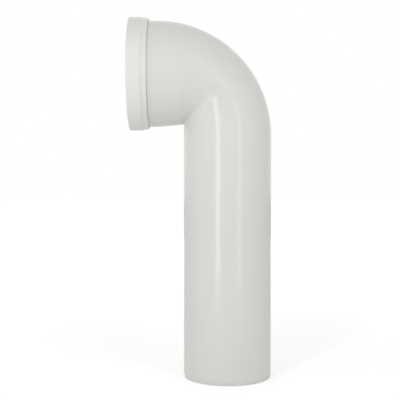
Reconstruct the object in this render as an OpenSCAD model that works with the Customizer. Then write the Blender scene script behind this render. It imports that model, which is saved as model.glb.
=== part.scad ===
// Long toilet pan connector, 90 degree bend with a long tail for a 110 mm soil pipe.
// Frame: millimetres, Z up, tail standing on its open end at the origin, socket mouth facing -X.

/* [Tail] */
// Outside diameter of the tail
tail_diameter = 110; // [90:0.5:125]
// Wall of the moulded body
wall = 3; // [2:0.1:5]
// Height where the outer side of the tail starts to bend
straight_height = 304.6; // [160:0.1:480]
// Height of the lead-in chamfer on the tail's end
end_chamfer_height = 4; // [1:0.1:8]
// Depth of the lead-in chamfer on the tail's end
end_chamfer_depth = 1.2; // [0.4:0.1:2]

/* [Bend] */
// Radius of the bend's outer line
outer_arc_radius = 143.2; // [110:0.1:190]
// Height of the sharp inner corner above the start of the outer line
corner_rise = 14; // [6:0.1:30]
// Radius of the small fillet in the inner corner
corner_fillet = 1.6; // [0.8:0.1:5]
// Narrowing of the neck's underside where it runs into the tail
under_narrowing = 4.2; // [1:0.1:10]
// Length over which the neck's underside narrows
inner_neck_fade = 9; // [4:0.5:20]
// Softening of the meeting of the tail and the neck
crease_blend = 2.5; // [0.5:0.1:6]
// Softening of the meeting of the tail and the outer sweep
sweep_blend = 3; // [0.5:0.1:8]

/* [Socket] */
// Outside diameter of the pan's outlet that the seal grips
pan_outlet_diameter = 102; // [90:0.5:120]
// Radial room between the pan's outlet and the socket's bore
seal_room = 12; // [9:0.1:18]
// Length of the neck that is straight behind the ring
neck_straight = 10.3; // [4:0.1:40]
// Height of the snap bead around the socket
bead_height = 1.8; // [1:0.1:3]
// Length of the flat top of the snap bead
bead_flat = 2; // [1:0.1:5]
// Length of the ramp in front of the snap bead
bead_ramp = 4; // [1:0.1:8]
// Length of the socket from the bead's back face to its front face
socket_front = 12.2; // [8:0.1:25]

/* [Retaining ring] */
// Wall of the ring's front band
ring_wall = 2.5; // [1.5:0.1:5]
// Step from the band down to the skirt
skirt_step = 1; // [0.3:0.1:1.5]
// Taper of the skirt towards its back edge
skirt_taper = 0.5; // [0.1:0.1:1]
// Length of the skirt's snap lip behind the bead
snap_lip = 5.8; // [3.5:0.1:12]
// Distance from the bead's back face to the step between band and skirt
band_step = 1.4; // [0.8:0.1:4]
// Thickness of the ring's front web
web_thickness = 3.2; // [2:0.1:6]
// Radial room between the pan's outlet and the opening in the web
mouth_room = 7.5; // [5:0.1:8.5]

/* [Lip seal] */
// How far the front lip's land reaches into the pan's outlet
lip_grip = 4; // [1:0.1:6]
// Length of the front lip's gripping land
lip_land = 3.5; // [1:0.1:8]
// Length of the front lip's cone
lip_cone = 12; // [6:0.1:20]
// Thickness of the lips at their edges
lip_thickness = 1.6; // [1:0.1:3]
// How far the back lip's edge reaches into the pan's outlet
back_lip_grip = 2.5; // [0.5:0.1:5]
// Length of the back lip's cone
back_lip_cone = 9.6; // [5:0.1:16]
// Thickness of the seal's clamped flange
flange_thickness = 3; // [1.5:0.1:5]
// Thickness of the seal's sleeve
sleeve_thickness = 2.3; // [1:0.1:3]
// Length of the sleeve inside the socket
sleeve_length = 24.5; // [22:0.5:32]

/* [Clearances] */
// Radial gap between the ring and the bead it snaps over
ring_clearance = 0.3; // [0.1:0.05:1]
// Radial gap between the snap lip of the ring and the neck
snap_clearance = 0.4; // [0.1:0.05:1]
// Radial gap between the seal's sleeve and the socket's bore
sleeve_clearance = 0.3; // [0.1:0.05:1]

/* [Colours] */
// Colour of the moulded body
body_colour = "#DCDBD6";
// Colour of the retaining ring
ring_colour = "#E2E1DC";
// Colour of the lip seal
seal_colour = "#2A2B2C";

/* [Hidden] */
$fn = 96;
around = 48;
fan_steps = 18;
tail_r = tail_diameter / 2;
pan_r = pan_outlet_diameter / 2;
socket_bore_r = pan_r + seal_room;
neck_r = socket_bore_r + wall;
arc_x = tail_r - outer_arc_radius;
arc_z = straight_height;
corner_z = arc_z + corner_rise;
socket_z = arc_z + outer_arc_radius - neck_r;
corner_drop = corner_z - (socket_z - neck_r);
under_slope = corner_drop / (-tail_r - arc_x);
corner_neck_r = socket_z - corner_z;
inner_neck_r = corner_neck_r - under_narrowing;
pivot = [-tail_r - corner_fillet, corner_z - corner_fillet];
join_overlap = 1;
skin_inset = 0.1;
bore_inset = wall - 0.3;
neck_start = -arc_x;
ring_back = neck_start + neck_straight;
bead_back = ring_back + snap_lip;
band_back = bead_back + band_step;
socket_reach = bead_back + socket_front;
seal_front = socket_reach + flange_thickness;
ring_front = seal_front + web_thickness;
bead_r = neck_r + bead_height;
ring_bore_r = bead_r + ring_clearance;
ring_r = ring_bore_r + ring_wall;
skirt_r = ring_r - skirt_step;
skirt_back_r = skirt_r - skirt_taper;
snap_r = neck_r + snap_clearance;
snap_lead = 0.8;
web_opening_r = pan_r + mouth_room;
mouth_r = web_opening_r - 0.5;
sleeve_r = socket_bore_r - sleeve_clearance;
sleeve_in_r = sleeve_r - sleeve_thickness;
sleeve_mid_r = sleeve_r - sleeve_thickness / 2;
sleeve_end = socket_reach - sleeve_length;
lip_r = pan_r - lip_grip;
lip_front = seal_front - lip_cone;
lip_back = lip_front - lip_land;
back_lip_r = pan_r - back_lip_grip;
back_lip_end = sleeve_end - 1;
back_lip_root = back_lip_end + 2.4 + back_lip_cone;

// Distance from p along u to the bend's outer line, which is inset by g.
function arc_reach(p, u, g) =
    let (q = p - [arc_x, arc_z], b = q * u, a = outer_arc_radius - g)
    -b + sqrt(b * b - (q * q - a * a));

function soft_min(a, b, k) =
    k < 0.02 ? min(a, b) : min(a, b) - pow(max(k - abs(a - b), 0), 2) / (4 * k);

function soft_max(a, b, k) =
    k < 0.02 ? max(a, b) : max(a, b) + pow(max(k - abs(a - b), 0), 2) / (4 * k);

function half_chord(r, x) = sqrt(max(0, r * r - x * x));

// Radius of the neck's underside, carried on into the tail.
function under_r(x) =
    inner_neck_r + under_narrowing * exp(-(x + tail_r) / inner_neck_fade);

// Half depth of the bend in the fan plane at angle a, at the distance p from its inner side.
function bend_depth(p, d, a, g) =
    let (x = -tail_r + g + p * cos(a),
         z = corner_z + g + p * sin(a),
         sweep = half_chord(d / 2, p - d / 2),
         tail = half_chord(tail_r - g, x),
         neck = half_chord(under_r(x - g) - g, z - socket_z),
         s = sin(2 * a))
    max(0, soft_min(sweep, soft_max(tail, neck, crease_blend * s), sweep_blend * s));

// One closed section: it starts at the inner side o, runs along u and has the width d.
function round_section(o, u, d) =
    [for (j = [0:around - 1])
        let (t = 360 * j / around, p = d / 2 * (1 - cos(t)))
        [o[0] + p * u[0], d / 2 * sin(t), o[1] + p * u[1]]];

function bend_section(a, g) =
    let (u = [cos(a), sin(a)],
         o = pivot + (corner_fillet + g) * u,
         d = arc_reach(o, u, g))
    [for (j = [0:around - 1])
        let (t = 360 * j / around, p = d / 2 * (1 - cos(t)), h = bend_depth(p, d, a, g))
        [o[0] + p * u[0], j == 0 ? 0 : (2 * j == around ? 0 : sign(sin(t)) * h), o[1] + p * u[1]]];

function low_section(z, g) =
    round_section([-tail_r + g, z], [1, 0], tail_r - g + arc_x + half_chord(outer_arc_radius - g, z - arc_z));

function neck_section(x, g) =
    let (b = corner_z + g - under_slope * (-tail_r - x))
    round_section([x, b], [0, 1], arc_z + half_chord(outer_arc_radius - g, x - arc_x) - b);

// All sections of the bend's skin, from the tail's top to the neck.
function bend_sections(g) = concat(
    [for (i = [0:1]) low_section(arc_z + (pivot[1] - arc_z) * i / 2, g)],
    [for (i = [0:fan_steps]) bend_section(90 * i / fan_steps, g)],
    [for (i = [1:4]) neck_section(pivot[0] + (arc_x - pivot[0]) * i / 4, g)]);

function flat_list(l) = [for (a = l) for (b = a) b];

module bend_shell() {
    outer = bend_sections(skin_inset);
    inner = bend_sections(bore_inset);
    m = len(outer);
    n = around;
    half = m * n;
    skin = [for (i = [0:m - 2]) for (j = [0:n - 1])
        let (k = (j + 1) % n) [i * n + j, (i + 1) * n + j, (i + 1) * n + k, i * n + k]];
    bore = [for (i = [0:m - 2]) for (j = [0:n - 1])
        let (k = (j + 1) % n)
        [half + i * n + k, half + (i + 1) * n + k, half + (i + 1) * n + j, half + i * n + j]];
    start_rim = [for (j = [0:n - 1]) let (k = (j + 1) % n) [j, k, half + k, half + j]];
    end_rim = [for (j = [0:n - 1])
        let (k = (j + 1) % n, e = (m - 1) * n) [e + k, e + j, half + e + j, half + e + k]];
    quads = concat(skin, bore, start_rim, end_rim);
    triangles = flat_list([for (q = quads) [[q[2], q[1], q[0]], [q[3], q[2], q[0]]]]);
    polyhedron(points = concat(flat_list(outer), flat_list(inner)), faces = triangles, convexity = 6);
}

// Turns a profile of radius and distance from the tail's axis about the socket's axis.
module about_socket_axis() {
    translate([0, 0, socket_z])
        rotate([0, -90, 0])
            rotate_extrude()
                children();
}

module tail_tube() {
    rotate_extrude()
        polygon([
            [tail_r - wall, 0],
            [tail_r - end_chamfer_depth, 0],
            [tail_r, end_chamfer_height],
            [tail_r, arc_z + join_overlap],
            [tail_r - wall, arc_z + join_overlap]
        ]);
}

module socket_tube() {
    about_socket_axis()
        polygon([
            [socket_bore_r, neck_start - join_overlap],
            [neck_r, neck_start - join_overlap],
            [neck_r, bead_back],
            [bead_r, bead_back],
            [bead_r, bead_back + bead_flat],
            [neck_r + 0.8, bead_back + bead_flat + bead_ramp],
            [neck_r + 0.8, socket_reach],
            [socket_bore_r, socket_reach]
        ]);
}

module connector_body() {
    color(body_colour)
        union() {
            tail_tube();
            bend_shell();
            socket_tube();
        }
}

module retaining_ring() {
    color(ring_colour)
        about_socket_axis()
            polygon([
                [web_opening_r, seal_front],
                [web_opening_r, ring_front - 0.8],
                [web_opening_r + 0.8, ring_front],
                [ring_r - 1, ring_front],
                [ring_r - 0.3, ring_front - 0.35],
                [ring_r, ring_front - 1.2],
                [ring_r, band_back + 0.7],
                [skirt_r, band_back - 0.5],
                [skirt_back_r, ring_back + 0.7],
                [skirt_back_r - 0.6, ring_back],
                [snap_r + snap_lead, ring_back],
                [snap_r + snap_lead, ring_back + 1],
                [snap_r, ring_back + 1 + snap_lead],
                [snap_r, bead_back],
                [ring_bore_r, bead_back],
                [ring_bore_r, seal_front]
            ]);
}

module lip_seal() {
    color(seal_colour)
        about_socket_axis()
            union() {
                // Flange clamped between the socket and the ring
                polygon([
                    [sleeve_in_r, socket_reach],
                    [bead_r, socket_reach],
                    [bead_r, seal_front],
                    [sleeve_in_r, seal_front]
                ]);
                // Sleeve along the socket's bore
                polygon([
                    [sleeve_in_r, sleeve_end],
                    [sleeve_r, sleeve_end],
                    [sleeve_r, seal_front - 1],
                    [sleeve_in_r, seal_front - 1]
                ]);
                // Front lip with its gripping land
                polygon([
                    [sleeve_mid_r, seal_front],
                    [mouth_r, seal_front],
                    [lip_r, lip_front],
                    [lip_r, lip_back],
                    [lip_r + lip_thickness, lip_back],
                    [sleeve_mid_r, seal_front - lip_cone / 3]
                ]);
                // Back lip
                polygon([
                    [sleeve_mid_r, back_lip_root],
                    [back_lip_r, back_lip_end + 2.4],
                    [back_lip_r, back_lip_end],
                    [back_lip_r + lip_thickness, back_lip_end],
                    [sleeve_mid_r, back_lip_root - 3.6]
                ]);
            }
}

connector_body();
retaining_ring();
lip_seal();
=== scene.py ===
import math

import bmesh
import bpy
from bpy.props import FloatProperty, FloatVectorProperty, IntProperty, PointerProperty
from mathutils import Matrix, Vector


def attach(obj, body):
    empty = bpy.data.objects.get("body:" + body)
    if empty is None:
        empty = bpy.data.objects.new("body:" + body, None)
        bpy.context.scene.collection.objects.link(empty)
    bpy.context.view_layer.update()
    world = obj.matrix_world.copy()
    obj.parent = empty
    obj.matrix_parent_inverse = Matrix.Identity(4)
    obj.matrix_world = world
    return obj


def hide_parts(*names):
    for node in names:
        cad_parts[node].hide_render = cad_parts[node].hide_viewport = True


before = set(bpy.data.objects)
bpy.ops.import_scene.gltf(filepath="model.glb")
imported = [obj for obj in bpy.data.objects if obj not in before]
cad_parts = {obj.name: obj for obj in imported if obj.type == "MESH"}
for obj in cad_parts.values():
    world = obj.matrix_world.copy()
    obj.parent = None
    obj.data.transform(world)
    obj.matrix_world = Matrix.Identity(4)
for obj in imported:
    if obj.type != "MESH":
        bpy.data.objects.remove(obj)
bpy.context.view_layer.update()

bl_info = {
    "name": "Long toilet pan connector",
    "version": (1, 0, 0),
    "blender": (4, 5, 0),
    "location": "View3D > Sidebar > Connector",
    "description": "Models a right-angled toilet pan connector with a long tail, its ring and its seal",
    "category": "Add Mesh",
}

MM = 0.001
MERGE_DISTANCE = 0.001 * MM
LEAST_BLEND = 0.02 * MM

# The photograph's width in pixels, and the camera's sensor in millimetres
PHOTO_WIDTH = 400
SENSOR_WIDTH = 36.0

# Degrees above level at which the bend is cut, closest together where its form changes most
FAN_ANGLES = (*range(0, 30, 3), *range(30, 66), *range(66, 91, 2))

# Numbers of cuts below the inner corner, and from the corner to the end of the outer arc
LOW_CUTS = 4
NECK_CUTS = 8

# The floor's half width, and the gap that keeps it clear of the tail's end
FLOOR_REACH = 6.0
FLOOR_GAP = 0.2 * MM

# Name, degrees right of the front, distance, lower and upper edge, width, radiance, and if gloss mirrors it
SOFT_BOXES = (
    ("left strip", -25.6, 0.803, 0.02, 1.2, 0.14, 3.9, True),
    ("right strip", 27.7, 0.803, 0.0, 0.55, 0.15, 1.6, True),
    ("right strip top", 27.7, 0.803, 0.55, 1.2, 0.15, 0.7, True),
    ("low left box", -75, 1.2, 0.0, 0.35, 0.7, 2.4, False),
    ("right box", 45, 2.2, 0.0, 1.6, 1.2, 1.3, False),
    ("back box", 180, 2.2, 0.1, 1.7, 1.6, 1.4, False),
)


def length(name, description, default):
    """A size in metres, whose default is given in millimetres."""
    return FloatProperty(
        name=name,
        description=description,
        default=default * MM,
        subtype="DISTANCE",
        unit="LENGTH",
        precision=5,
    )


def colour(name, description, default):
    return FloatVectorProperty(
        name=name,
        description=description,
        default=default,
        size=3,
        min=0.0,
        max=1.0,
        subtype="COLOR",
    )


class ConnectorBodySizes(bpy.types.PropertyGroup):
    """Sizes of the moulded body"""

    tail_radius: length("Tail radius", "Outside radius of the long tail", 55)
    wall: length("Wall", "Wall of the moulding", 3)
    straight_height: length("Straight height", "Height at which the outer side starts to bend", 304.6)
    chamfer_height: length("Chamfer height", "Height of the lead-in on the tail's end", 4)
    chamfer_depth: length("Chamfer depth", "Depth of the lead-in on the tail's end", 1.2)
    arc_radius: length("Outer arc radius", "Radius of the bend's outer line", 143.2)
    corner_rise: length("Corner rise", "Height of the inner corner above the start of the outer line", 14)
    corner_fillet: length("Corner fillet", "Fillet in the inner corner", 1.6)
    under_radius: length("Underside radius", "Radius of the neck's underside where it meets the tail", 59)
    under_fade: length("Underside fade", "Length over which the underside narrows to that radius", 9)
    side_lift: length("Side lift", "Widening of the neck's underside towards the neck's sides", 1.2)
    crease_blend: length("Crease blend", "Softening where the tail meets the neck", 4.5)
    sweep_blend: length("Sweep blend", "Softening where the tail meets the outer sweep", 3)
    neck_radius: length("Neck radius", "Outside radius of the neck", 66)
    socket_reach: length("Socket reach", "Distance from the tail's axis to the socket's front face", 116.5)
    bead_radius: length("Bead radius", "Radius of the snap bead around the socket", 67.8)
    bead_back: length("Bead back", "Distance from the tail's axis to the bead's back face", 104.3)
    around: IntProperty(name="Around", description="Faces around a section", default=128, min=32, max=256)


class ConnectorRingSizes(bpy.types.PropertyGroup):
    """Sizes of the retaining ring"""

    band_radius: length("Band radius", "Outside radius of the front band", 70.6)
    skirt_radius: length("Skirt radius", "Outside radius of the skirt next to the band", 69.6)
    groove_radius: length("Groove radius", "Radius at the foot of the slope behind the band", 69.2)
    skirt_back_radius: length("Skirt back radius", "Outside radius of the skirt's back edge", 69.1)
    ring_front: length("Front", "Distance from the tail's axis to the front of the ring", 122.7)
    ring_back: length("Back", "Distance from the tail's axis to the back of the ring", 98.5)
    band_back: length("Band back", "Distance from the tail's axis to the slope behind the band", 105.7)
    opening_radius: length("Opening radius", "Radius of the opening in the front web", 58.5)
    bore_radius: length("Bore radius", "Inside radius over the snap bead", 68.1)
    snap_radius: length("Snap radius", "Inside radius of the snap lip", 66.4)
    web_back: length("Web back", "Distance from the tail's axis to the back of the web", 119.5)


class ConnectorSealSizes(bpy.types.PropertyGroup):
    """Sizes of the lip seal"""

    lip_radius: length("Lip radius", "Radius of the front lip's gripping land", 47)
    lip_land: length("Lip land", "Length of the gripping land", 3.5)
    back_lip_radius: length("Back lip radius", "Radius of the back lip's edge", 48.5)
    sleeve_radius: length("Sleeve radius", "Outside radius of the sleeve", 62.7)
    sleeve_inner: length("Sleeve inner radius", "Inside radius of the sleeve", 60.4)
    sleeve_end: length("Sleeve end", "Distance from the tail's axis to the sleeve's inner end", 92)
    mouth_radius: length("Mouth radius", "Radius of the seal's mouth", 58)


class ConnectorFinish(bpy.types.PropertyGroup):
    """Colours and finish of the pieces"""

    body_colour: colour("Body colour", "Moulded plastic of the body", (0.723, 0.712, 0.670))
    ring_colour: colour("Ring colour", "Moulded plastic of the ring", (0.773, 0.762, 0.721))
    seal_colour: colour("Seal colour", "Rubber of the seal", (0.028, 0.028, 0.030))
    floor_colour: colour("Floor colour", "Pale studio floor", (0.825, 0.835, 0.870))


class ConnectorCamera(bpy.types.PropertyGroup):
    """Where the camera stands"""

    place_x: length("X", "Camera across", -34.7)
    place_y: length("Y", "Camera in front", -1074.4)
    place_z: length("Z", "Camera height", 262.4)
    pitch: FloatProperty(
        name="Pitch", description="Tilt below level", default=math.radians(2.07), subtype="ANGLE"
    )
    focal_pixels: FloatProperty(name="Focal length", description="Focal length in pixels", default=850.3)


def half_chord(radius, offset):
    """Half the width of a circle at an offset from its centre, or 0 outside it."""
    return math.sqrt(max(0.0, radius * radius - offset * offset))


def soft_min(a, b, blend):
    """The smaller of two values, with the change between them softened."""
    if blend < LEAST_BLEND:
        return min(a, b)
    return min(a, b) - max(blend - abs(a - b), 0.0) ** 2 / (4 * blend)


def soft_max(a, b, blend):
    """The larger of two values, with the change between them softened."""
    if blend < LEAST_BLEND:
        return max(a, b)
    return max(a, b) + max(blend - abs(a - b), 0.0) ** 2 / (4 * blend)


class BendShape:
    """The bend's lines and its sections, at a given depth under the outer skin."""

    def __init__(self, s):
        self.s = s
        self.arc_x = s.tail_radius - s.arc_radius
        self.arc_z = s.straight_height
        self.corner_z = self.arc_z + s.corner_rise
        self.socket_z = self.arc_z + s.arc_radius - s.neck_radius
        drop = self.corner_z - (self.socket_z - s.neck_radius)
        self.under_slope = drop / (-s.tail_radius - self.arc_x)
        self.pivot = Vector((-s.tail_radius - s.corner_fillet, self.corner_z - s.corner_fillet))

    def section(self, start, run, width, depth=None):
        """A closed section from its start across the bend, which is a circle where no depth is given."""
        points = []
        n = self.s.around
        for j in range(n):
            turn = 2 * math.pi * j / n
            across = width / 2 * (1 - math.cos(turn))
            half = width / 2 * math.sin(turn)
            if depth is not None:
                half = 0.0 if j in (0, n // 2) else math.copysign(depth(across), math.sin(turn))
            points.append(Vector((start[0] + across * run[0], half, start[1] + across * run[1])))
        return points

    def tail_circle(self, radius, z):
        return self.section((-radius, z), (1, 0), 2 * radius)

    def socket_circle(self, radius, reach):
        return self.section((-reach, self.socket_z - radius), (0, 1), 2 * radius)

    def low(self, z, inset):
        """The level section at a height between the straight tail and the inner corner."""
        s = self.s
        width = s.tail_radius - inset + self.arc_x
        width += half_chord(s.arc_radius - inset, z - self.arc_z)
        return self.section((-s.tail_radius + inset, z), (1, 0), width)

    def fan(self, angle, inset):
        """The section in a plane through the inner corner, at an angle above level."""
        s = self.s
        run = Vector((math.cos(angle), math.sin(angle)))
        start = self.pivot + (s.corner_fillet + inset) * run
        from_arc = start - Vector((self.arc_x, self.arc_z))
        reach = s.arc_radius - inset
        along = from_arc.dot(run)
        width = -along + math.sqrt(along**2 - (from_arc.dot(from_arc) - reach**2))
        blend = math.sin(2 * angle)
        climb = self.socket_z - self.corner_z

        def depth(across):
            x = -s.tail_radius + across * run.x
            z = self.corner_z + inset + across * run.y
            fade = math.exp(-(x + s.tail_radius) / s.under_fade)
            rise = min(1.0, max(0.0, (z - self.corner_z) / climb))
            under = s.under_radius + (climb - s.under_radius) * fade + s.side_lift * rise**3
            sweep = half_chord(width / 2, across - width / 2)
            tail = half_chord(s.tail_radius - inset, x + inset)
            neck = half_chord(under - inset, z - self.socket_z)
            both = soft_max(tail, neck, s.crease_blend * blend)
            return max(0.0, soft_min(sweep, both, s.sweep_blend * blend))

        return self.section(start, run, width, depth)

    def neck(self, x, inset):
        """The upright section of the neck at x."""
        s = self.s
        low = self.corner_z + inset - self.under_slope * (-s.tail_radius - x)
        high = self.arc_z + half_chord(s.arc_radius - inset, x - self.arc_x)
        return self.section((x, low), (0, 1), high - low)

    def skin(self, inset):
        """All sections from the top of the straight tail to the end of the outer arc."""
        climb = self.pivot.y - self.arc_z
        run = self.arc_x - self.pivot.x
        out = [self.low(self.arc_z + climb * i / LOW_CUTS, inset) for i in range(LOW_CUTS)]
        out += [self.fan(math.radians(a), inset) for a in FAN_ANGLES]
        out += [self.neck(self.pivot.x + run * i / NECK_CUTS, inset) for i in range(1, NECK_CUTS + 1)]
        return out


def rounded(corners, steps=4):
    """A closed outline as points. A corner is a radius, a reach or height, and a fillet in millimetres."""
    # The share of a side that a fillet may take, and of a fillet that a flat point stands past its end
    most_of_side = 0.48
    hold_share = 0.6
    out = []
    n = len(corners)
    for i, (radius, place, fillet) in enumerate(corners):
        here = Vector((radius, place))
        if fillet <= 0:
            out.append(here)
            continue
        back = Vector(corners[i - 1][:2]) - here
        ahead = Vector(corners[(i + 1) % n][:2]) - here
        turn = back.normalized().angle(-ahead.normalized())
        most = most_of_side * min(back.length, ahead.length)
        reach = min(fillet * MM * math.tan(turn / 2), most)
        begin = here + back.normalized() * reach
        end = here + ahead.normalized() * reach
        hold = reach + reach * hold_share
        if back.length / 2 > hold:
            out.append(here + back.normalized() * hold)
        for k in range(steps + 1):
            f = k / steps
            out.append(begin * (1 - f) ** 2 + here * 2 * f * (1 - f) + end * f**2)
        if ahead.length / 2 > hold:
            out.append(here + ahead.normalized() * hold)
    return out


def finish_mesh(bm, name, parent_body, node, material):
    """Merges doubled points, turns the faces outward and makes a piece that replaces a CAD node."""
    bmesh.ops.remove_doubles(bm, verts=bm.verts, dist=MERGE_DISTANCE)
    bmesh.ops.recalc_face_normals(bm, faces=bm.faces)
    for face in bm.faces:
        face.smooth = True
    mesh = bpy.data.meshes.new(name)
    bm.to_mesh(mesh)
    bm.free()
    mesh.materials.append(material)
    piece = bpy.data.objects.new(name, mesh)
    bpy.context.scene.collection.objects.link(piece)
    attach(piece, parent_body)
    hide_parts(node)


def loft(bm, sections):
    """Pulls one ring of edges through every section in turn."""
    n = len(sections[0])
    # The circle's own size has no effect, because its points move to the first section
    ring = bmesh.ops.create_circle(bm, cap_ends=False, segments=n, radius=1.0)["verts"]
    for vert, place in zip(ring, sections[0]):
        vert.co = place
    for places in sections[1:]:
        edges = [bm.edges.get((ring[j], ring[(j + 1) % n])) for j in range(n)]
        made = bmesh.ops.extrude_edge_only(bm, edges=edges)["geom"]
        fresh = {part for part in made if isinstance(part, bmesh.types.BMVert)}
        ring = [
            next(edge.other_vert(vert) for edge in vert.link_edges if edge.other_vert(vert) in fresh)
            for vert in ring
        ]
        for vert, place in zip(ring, places):
            vert.co = place


def turned(bm, profile, axis_z, steps=144):
    """Spins a closed profile of radius and reach about the socket's axis."""
    verts = [bm.verts.new((-reach, 0.0, axis_z - radius)) for radius, reach in profile]
    edges = [bm.edges.new((verts[i], verts[(i + 1) % len(verts)])) for i in range(len(verts))]
    bmesh.ops.spin(
        bm,
        geom=verts + edges,
        cent=(0, 0, axis_z),
        axis=(1, 0, 0),
        dvec=(0, 0, 0),
        angle=2 * math.pi,
        steps=steps,
        use_merge=True,
        use_normal_flip=False,
        use_duplicate=False,
    )


def add_node(tree, kind, x, y, sockets=None, **values):
    """Adds a node, sets its own values, and then the values of its input sockets."""
    node = tree.nodes.new(kind)
    node.location = (x, y)
    for key, value in values.items():
        setattr(node, key, value)
    for key, value in (sockets or {}).items():
        node.inputs[key].default_value = value
    return node


def moulded_surface_group():
    """Shared effect for moulded plastic and rubber: cloudy colour, scuffs, uneven gloss and fine grain."""
    name = "moulded surface"
    if name in bpy.data.node_groups:
        return bpy.data.node_groups[name]
    group = bpy.data.node_groups.new(name, "ShaderNodeTree")
    face = group.interface
    for label, default in (
        ("Cloud Size", 9.0),
        ("Cloud Depth", 0.03),
        ("Grain Size", 900.0),
        ("Scuff Amount", 0.05),
        ("Roughness", 0.3),
        ("Roughness Spread", 0.06),
    ):
        socket = face.new_socket(name=label, in_out="INPUT", socket_type="NodeSocketFloat")
        socket.default_value = default
    socket = face.new_socket(name="Base", in_out="INPUT", socket_type="NodeSocketColor")
    socket.default_value = (0.7, 0.7, 0.7, 1)
    face.new_socket(name="Colour", in_out="OUTPUT", socket_type="NodeSocketColor")
    face.new_socket(name="Roughness", in_out="OUTPUT", socket_type="NodeSocketFloat")
    face.new_socket(name="Height", in_out="OUTPUT", socket_type="NodeSocketFloat")
    link = group.links.new
    inside = add_node(group, "NodeGroupInput", -1200, 0)
    outside = add_node(group, "NodeGroupOutput", 900, 0)
    coord = add_node(group, "ShaderNodeTexCoord", -1200, -300)

    cloud = add_node(group, "ShaderNodeTexNoise", -900, 250, {"Detail": 3, "Roughness": 0.55})
    link(coord.outputs["Object"], cloud.inputs["Vector"])
    link(inside.outputs["Cloud Size"], cloud.inputs["Scale"])
    cloud_limits = {"From Min": 0.3, "From Max": 0.7, "To Min": 0.0}
    cloud_range = add_node(group, "ShaderNodeMapRange", -680, 250, cloud_limits)
    link(cloud.outputs["Fac"], cloud_range.inputs["Value"])
    link(inside.outputs["Cloud Depth"], cloud_range.inputs["To Max"])

    stretch = add_node(group, "ShaderNodeMapping", -980, -60, {"Scale": (1.0, 1.0, 0.16)})
    link(coord.outputs["Object"], stretch.inputs["Vector"])
    scuff_noise = {"Scale": 150, "Detail": 5, "Roughness": 0.7}
    scuff = add_node(group, "ShaderNodeTexNoise", -780, -60, scuff_noise)
    link(stretch.outputs["Vector"], scuff.inputs["Vector"])
    scuff_limits = {"From Min": 0.62, "From Max": 0.74}
    scuff_mask = add_node(group, "ShaderNodeMapRange", -560, -60, scuff_limits)
    link(scuff.outputs["Fac"], scuff_mask.inputs["Value"])
    scuffed = add_node(group, "ShaderNodeMath", -340, -60, operation="MULTIPLY")
    link(scuff_mask.outputs["Result"], scuffed.inputs[0])
    link(inside.outputs["Scuff Amount"], scuffed.inputs[1])

    grain = add_node(group, "ShaderNodeTexNoise", -900, -360, {"Detail": 2})
    link(coord.outputs["Object"], grain.inputs["Vector"])
    link(inside.outputs["Grain Size"], grain.inputs["Scale"])

    darker = add_node(group, "ShaderNodeMath", -120, 160, operation="ADD")
    link(cloud_range.outputs["Result"], darker.inputs[0])
    link(scuffed.outputs["Value"], darker.inputs[1])
    worn_tint = {"B": (0.30, 0.29, 0.27, 1)}
    shade = add_node(group, "ShaderNodeMix", 140, 160, worn_tint, data_type="RGBA", blend_type="MULTIPLY")
    link(darker.outputs["Value"], shade.inputs["Factor"])
    link(inside.outputs["Base"], shade.inputs["A"])
    link(shade.outputs["Result"], outside.inputs["Colour"])

    spread = add_node(group, "ShaderNodeMath", 140, -120, operation="MULTIPLY_ADD")
    link(cloud.outputs["Fac"], spread.inputs[0])
    link(inside.outputs["Roughness Spread"], spread.inputs[1])
    link(inside.outputs["Roughness"], spread.inputs[2])
    rougher = add_node(group, "ShaderNodeMath", 360, -120, operation="ADD")
    link(spread.outputs["Value"], rougher.inputs[0])
    link(scuffed.outputs["Value"], rougher.inputs[1])
    link(rougher.outputs["Value"], outside.inputs["Roughness"])
    link(grain.outputs["Fac"], outside.inputs["Height"])
    return group


def moulded_material(
    name, base, *, roughness, spread, cloud_depth, scuffs, grain_size, grain_depth, specular=0.5, ior=1.46
):
    """Plastic or rubber with the shared surface effect and its own values."""
    material = bpy.data.materials.new(name)
    material.use_nodes = True
    tree = material.node_tree
    shader = tree.nodes["Principled BSDF"]
    shader.inputs["IOR"].default_value = ior
    shader.inputs["Specular IOR Level"].default_value = specular
    group = add_node(tree, "ShaderNodeGroup", -500, 0)
    group.node_tree = moulded_surface_group()
    for label, value in (
        ("Base", (*base, 1)),
        ("Roughness", roughness),
        ("Roughness Spread", spread),
        ("Cloud Depth", cloud_depth),
        ("Scuff Amount", scuffs),
        ("Grain Size", grain_size),
    ):
        group.inputs[label].default_value = value
    tree.links.new(group.outputs["Colour"], shader.inputs["Base Color"])
    tree.links.new(group.outputs["Roughness"], shader.inputs["Roughness"])
    bump_values = {"Strength": 1.0, "Distance": grain_depth}
    bump = add_node(tree, "ShaderNodeBump", -220, -240, bump_values)
    tree.links.new(group.outputs["Height"], bump.inputs["Height"])
    tree.links.new(bump.outputs["Normal"], shader.inputs["Normal"])
    return material


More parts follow.
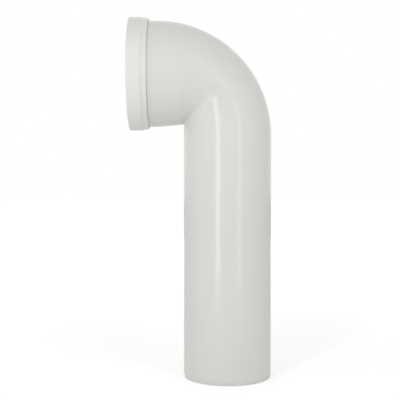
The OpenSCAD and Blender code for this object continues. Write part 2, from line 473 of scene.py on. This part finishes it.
class MESH_OT_connector_body(bpy.types.Operator):
    """Model the moulded body: tail, bend, neck and socket"""

    bl_idname = "mesh.connector_body"
    bl_label = "Connector Body"

    def execute(self, context):
        s = context.scene.connector_body_sizes
        finish = context.scene.connector_finish
        shape = BendShape(s)
        inner = s.tail_radius - s.wall
        bore = s.neck_radius - s.wall
        tail = rounded(
            [
                (inner, 0.0, 0.5),
                (s.tail_radius - s.chamfer_depth, 0.0, 0.5),
                (s.tail_radius, s.chamfer_height, 3),
                (s.tail_radius, s.straight_height, 0),
                (inner, s.straight_height, 0),
            ]
        )
        neck_end = s.bead_back - 8 * MM
        bead_front = s.bead_back + 2 * MM
        ramp_foot = s.bead_back + 6 * MM
        ramp_radius = s.neck_radius + 0.8 * MM
        socket = rounded(
            [
                (s.neck_radius, neck_end, 0),
                (s.neck_radius, s.bead_back, 0.3),
                (s.bead_radius, s.bead_back, 0.3),
                (s.bead_radius, bead_front, 0.5),
                (ramp_radius, ramp_foot, 1),
                (ramp_radius, s.socket_reach, 0.3),
                (bore, s.socket_reach, 0.5),
                (bore, neck_end, 0),
            ]
        )
        # The sections start and end where the fillet of the tail's inner edge meets its flat end
        seam = 5
        top = tail.index(Vector((s.tail_radius, s.straight_height)))
        bore_heights = (200 * MM, 50 * MM, 10 * MM)
        sections = [shape.tail_circle(radius, z) for radius, z in tail[seam:top]]
        sections += shape.skin(0.0)
        sections += [shape.socket_circle(radius, reach) for radius, reach in socket]
        sections += reversed(shape.skin(s.wall))
        sections += [shape.tail_circle(inner, z) for z in bore_heights]
        sections += [shape.tail_circle(radius, z) for radius, z in tail[: seam + 1]]
        bm = bmesh.new()
        loft(bm, sections)
        material = moulded_material(
            "off-white moulded plastic",
            finish.body_colour,
            roughness=0.14,
            spread=0.05,
            cloud_depth=0.035,
            scuffs=0.04,
            grain_size=700.0,
            grain_depth=0.012 * MM,
        )
        finish_mesh(bm, "connector_moulding", "root", "connector_body", material)
        return {"FINISHED"}


class MESH_OT_retaining_ring(bpy.types.Operator):
    """Model the ring that clamps the seal to the socket"""

    bl_idname = "mesh.connector_retaining_ring"
    bl_label = "Retaining Ring"

    def execute(self, context):
        s = context.scene.connector_ring_sizes
        body = context.scene.connector_body_sizes
        finish = context.scene.connector_finish
        band_edge = s.band_back + 0.3 * MM
        groove = s.band_back - 1.5 * MM
        rib = s.band_back - 3.0 * MM
        back_edge = s.ring_back + 0.3 * MM
        back_face_radius = s.skirt_back_radius - 1.1 * MM
        lead_radius = s.snap_radius + 0.8 * MM
        lead_start = s.ring_back + 1 * MM
        lead_end = s.ring_back + 1.8 * MM
        profile = rounded(
            [
                (s.opening_radius, s.web_back, 0.2),
                (s.opening_radius, s.ring_front, 0.9),
                (s.band_radius, s.ring_front, 1.1),
                (s.band_radius, band_edge, 0.4),
                (s.groove_radius, groove, 0.5),
                (s.skirt_radius, rib, 0.7),
                (s.skirt_back_radius, back_edge, 0.9),
                (back_face_radius, s.ring_back, 0.3),
                (lead_radius, s.ring_back, 0.25),
                (lead_radius, lead_start, 0),
                (s.snap_radius, lead_end, 0.2),
                (s.snap_radius, body.bead_back, 0.2),
                (s.bore_radius, body.bead_back, 0.2),
                (s.bore_radius, s.web_back, 0.2),
            ]
        )
        bm = bmesh.new()
        turned(bm, profile, BendShape(body).socket_z)
        material = moulded_material(
            "off-white ring plastic",
            finish.ring_colour,
            roughness=0.20,
            spread=0.06,
            cloud_depth=0.03,
            scuffs=0.04,
            grain_size=800.0,
            grain_depth=0.010 * MM,
        )
        finish_mesh(bm, "snap_ring", "root", "retaining_ring", material)
        return {"FINISHED"}


class MESH_OT_lip_seal(bpy.types.Operator):
    """Model the rubber seal with its sleeve and lips"""

    bl_idname = "mesh.connector_lip_seal"
    bl_label = "Lip Seal"

    def execute(self, context):
        s = context.scene.connector_seal_sizes
        body = context.scene.connector_body_sizes
        ring = context.scene.connector_ring_sizes
        finish = context.scene.connector_finish
        front = ring.web_back
        root = s.sleeve_inner
        land_front = front - 12 * MM
        land_back = land_front - s.lip_land
        lip_edge_radius = s.lip_radius + 1.6 * MM
        lip_root = front - 4.6 * MM
        back_root_front = s.sleeve_end + 10.9 * MM
        back_root_end = s.sleeve_end + 7.2 * MM
        back_land_front = s.sleeve_end + 1.4 * MM
        back_land_end = s.sleeve_end - 1 * MM
        back_edge_radius = s.back_lip_radius + 1.5 * MM
        profile = rounded(
            [
                (body.bead_radius, front, 0.3),
                (s.mouth_radius, front, 1.2),
                (s.lip_radius, land_front, 1.5),
                (s.lip_radius, land_back, 0.6),
                (lip_edge_radius, land_back, 0.6),
                (root, lip_root, 1),
                (root, back_root_front, 1),
                (s.back_lip_radius, back_land_front, 0.8),
                (s.back_lip_radius, back_land_end, 0.6),
                (back_edge_radius, back_land_end, 0.5),
                (root, back_root_end, 0.8),
                (root, s.sleeve_end, 0.4),
                (s.sleeve_radius, s.sleeve_end, 0.4),
                (s.sleeve_radius, body.socket_reach, 0.3),
                (body.bead_radius, body.socket_reach, 0.3),
            ]
        )
        bm = bmesh.new()
        turned(bm, profile, BendShape(body).socket_z)
        material = moulded_material(
            "dark seal rubber",
            finish.seal_colour,
            roughness=0.48,
            spread=0.14,
            cloud_depth=0.25,
            scuffs=0.10,
            grain_size=1200.0,
            grain_depth=0.03 * MM,
            specular=0.4,
        )
        finish_mesh(bm, "rubber_lip_seal", "root", "lip_seal", material)
        return {"FINISHED"}


def studio_floor_material(tint, near_glow, far_glow, mirrored_glow):
    """Pale floor that keeps a shadow and reads as white to the camera and in reflections."""
    near_edge = 0.25
    far_edge = 1.5
    mottle = 0.01
    material = bpy.data.materials.new("pale studio floor")
    material.use_nodes = True
    tree = material.node_tree
    tree.nodes.clear()
    link = tree.links.new
    out = add_node(tree, "ShaderNodeOutputMaterial", 700, 0)
    coord = add_node(tree, "ShaderNodeTexCoord", -700, 150)

    speck = add_node(tree, "ShaderNodeTexNoise", -500, 150, {"Scale": 60})
    link(coord.outputs["Object"], speck.inputs["Vector"])
    shade = add_node(tree, "ShaderNodeMix", -300, 150, data_type="RGBA")
    for key, part in (("A", 1 - mottle), ("B", 1 + mottle)):
        shade.inputs[key].default_value = (*(part * value for value in tint), 1)
    link(speck.outputs["Fac"], shade.inputs["Factor"])
    diffuse = add_node(tree, "ShaderNodeBsdfDiffuse", 100, 150)
    link(shade.outputs["Result"], diffuse.inputs["Color"])

    reach = add_node(tree, "ShaderNodeVectorMath", -500, -450, operation="LENGTH")
    link(coord.outputs["Object"], reach.inputs[0])
    limits = {"From Min": near_edge, "From Max": far_edge, "To Min": near_glow, "To Max": far_glow}
    spread = add_node(tree, "ShaderNodeMapRange", -300, -450, limits)
    link(reach.outputs["Value"], spread.inputs["Value"])

    path = add_node(tree, "ShaderNodeLightPath", -500, -150)
    seen = add_node(tree, "ShaderNodeMath", -300, -150, operation="MAXIMUM")
    link(path.outputs["Is Glossy Ray"], seen.inputs[0])
    link(path.outputs["Is Transmission Ray"], seen.inputs[1])
    mirrored = add_node(tree, "ShaderNodeMath", -120, -250, {1: mirrored_glow}, operation="MULTIPLY")
    link(seen.outputs["Value"], mirrored.inputs[0])
    level = add_node(tree, "ShaderNodeMath", -20, -250, operation="MULTIPLY_ADD")
    link(path.outputs["Is Camera Ray"], level.inputs[0])
    link(spread.outputs["Result"], level.inputs[1])
    link(mirrored.outputs["Value"], level.inputs[2])
    # A little warm, so that with the cool tint the camera sees a neutral white
    warm_white = {"Color": (1.0, 0.98, 0.92, 1)}
    glow = add_node(tree, "ShaderNodeEmission", 100, -100, warm_white)
    link(level.outputs["Value"], glow.inputs["Strength"])

    both = add_node(tree, "ShaderNodeAddShader", 450, 0)
    link(diffuse.outputs["BSDF"], both.inputs[0])
    link(glow.outputs["Emission"], both.inputs[1])
    link(both.outputs["Shader"], out.inputs["Surface"])
    return material


def studio_world(ambient):
    """White behind everything, and a plain soft light on the object."""
    world = bpy.data.worlds.new("studio world")
    bpy.context.scene.world = world
    world.use_nodes = True
    tree = world.node_tree
    link = tree.links.new
    back = tree.nodes["Background"]
    back.inputs["Color"].default_value = (1, 1, 1, 1)
    path = add_node(tree, "ShaderNodeLightPath", -700, 0)
    seen = add_node(tree, "ShaderNodeMath", -560, 0, operation="MAXIMUM")
    link(path.outputs["Is Camera Ray"], seen.inputs[0])
    link(path.outputs["Is Glossy Ray"], seen.inputs[1])
    seen_any = add_node(tree, "ShaderNodeMath", -400, 0, operation="MAXIMUM")
    link(seen.outputs["Value"], seen_any.inputs[0])
    link(path.outputs["Is Transmission Ray"], seen_any.inputs[1])
    level = add_node(tree, "ShaderNodeMapRange", -260, 0, {"To Min": ambient, "To Max": 1.0})
    link(seen_any.outputs["Value"], level.inputs["Value"])
    link(level.outputs["Result"], back.inputs["Strength"])


def soft_box(name, azimuth, distance, low, high, width, radiance, mirrored):
    """An upright panel of light that faces the tail's axis, mirrored in glossy surfaces or not."""
    lamp = bpy.data.lights.new(name, "AREA")
    lamp.shape = "RECTANGLE"
    lamp.size = width
    lamp.size_y = high - low
    lamp.energy = radiance * width * (high - low) * math.pi
    a = math.radians(azimuth)
    lamp_object = bpy.data.objects.new(name, lamp)
    lamp_object.location = (distance * math.sin(a), -distance * math.cos(a), (low + high) / 2)
    lamp_object.rotation_euler = (math.radians(90), 0, a)
    lamp_object.visible_camera = False
    lamp_object.visible_glossy = mirrored
    bpy.context.scene.collection.objects.link(lamp_object)


class SCENE_OT_connector_stage(bpy.types.Operator):
    """Set up the floor, the lights and the camera"""

    bl_idname = "scene.connector_stage"
    bl_label = "Connector Stage"

    def execute(self, context):
        finish = context.scene.connector_finish
        place = context.scene.connector_camera
        bm = bmesh.new()
        bmesh.ops.create_grid(bm, x_segments=1, y_segments=1, size=FLOOR_REACH)
        mesh = bpy.data.meshes.new("studio_floor")
        bm.to_mesh(mesh)
        bm.free()
        floor = bpy.data.objects.new("studio_floor", mesh)
        floor.location = (0, 0, -FLOOR_GAP)
        mesh.materials.append(
            studio_floor_material(finish.floor_colour, near_glow=0.39, far_glow=0.57, mirrored_glow=0.12)
        )
        context.scene.collection.objects.link(floor)

        studio_world(ambient=0.56)
        for values in SOFT_BOXES:
            soft_box(*values)

        lens = bpy.data.cameras.new("camera")
        lens.sensor_fit = "HORIZONTAL"
        lens.sensor_width = SENSOR_WIDTH
        lens.lens = SENSOR_WIDTH * place.focal_pixels / PHOTO_WIDTH
        lens.clip_end = 50
        camera = bpy.data.objects.new("camera", lens)
        camera.location = (place.place_x, place.place_y, place.place_z)
        camera.rotation_euler = (math.radians(90) - place.pitch, 0, 0)
        context.scene.collection.objects.link(camera)
        context.scene.camera = camera
        context.scene.view_settings.view_transform = "Standard"
        return {"FINISHED"}


class VIEW3D_PT_pan_connector(bpy.types.Panel):
    """The connector's pieces and their sizes"""

    bl_label = "Pan Connector"
    bl_idname = "VIEW3D_PT_pan_connector"
    bl_space_type = "VIEW_3D"
    bl_region_type = "UI"
    bl_category = "Connector"

    def draw(self, context):
        layout = self.layout
        for operator in OPERATORS:
            layout.operator(operator.bl_idname)
        for name in POINTERS:
            group = getattr(context.scene, name)
            box = layout.box()
            box.label(text=name.replace("_", " "))
            for key in group.__annotations__:
                box.prop(group, key)


OPERATORS = (MESH_OT_connector_body, MESH_OT_retaining_ring, MESH_OT_lip_seal, SCENE_OT_connector_stage)
POINTERS = {
    "connector_body_sizes": ConnectorBodySizes,
    "connector_ring_sizes": ConnectorRingSizes,
    "connector_seal_sizes": ConnectorSealSizes,
    "connector_finish": ConnectorFinish,
    "connector_camera": ConnectorCamera,
}
CLASSES = (*POINTERS.values(), *OPERATORS, VIEW3D_PT_pan_connector)


def register():
    for item in CLASSES:
        bpy.utils.register_class(item)
    for name, group in POINTERS.items():
        setattr(bpy.types.Scene, name, PointerProperty(type=group))


def unregister():
    for name in POINTERS:
        delattr(bpy.types.Scene, name)
    for item in reversed(CLASSES):
        bpy.utils.unregister_class(item)


def main():
    register()
    bpy.ops.mesh.connector_body()
    bpy.ops.mesh.connector_retaining_ring()
    bpy.ops.mesh.connector_lip_seal()
    bpy.ops.scene.connector_stage()


if __name__ == "__main__":
    main()
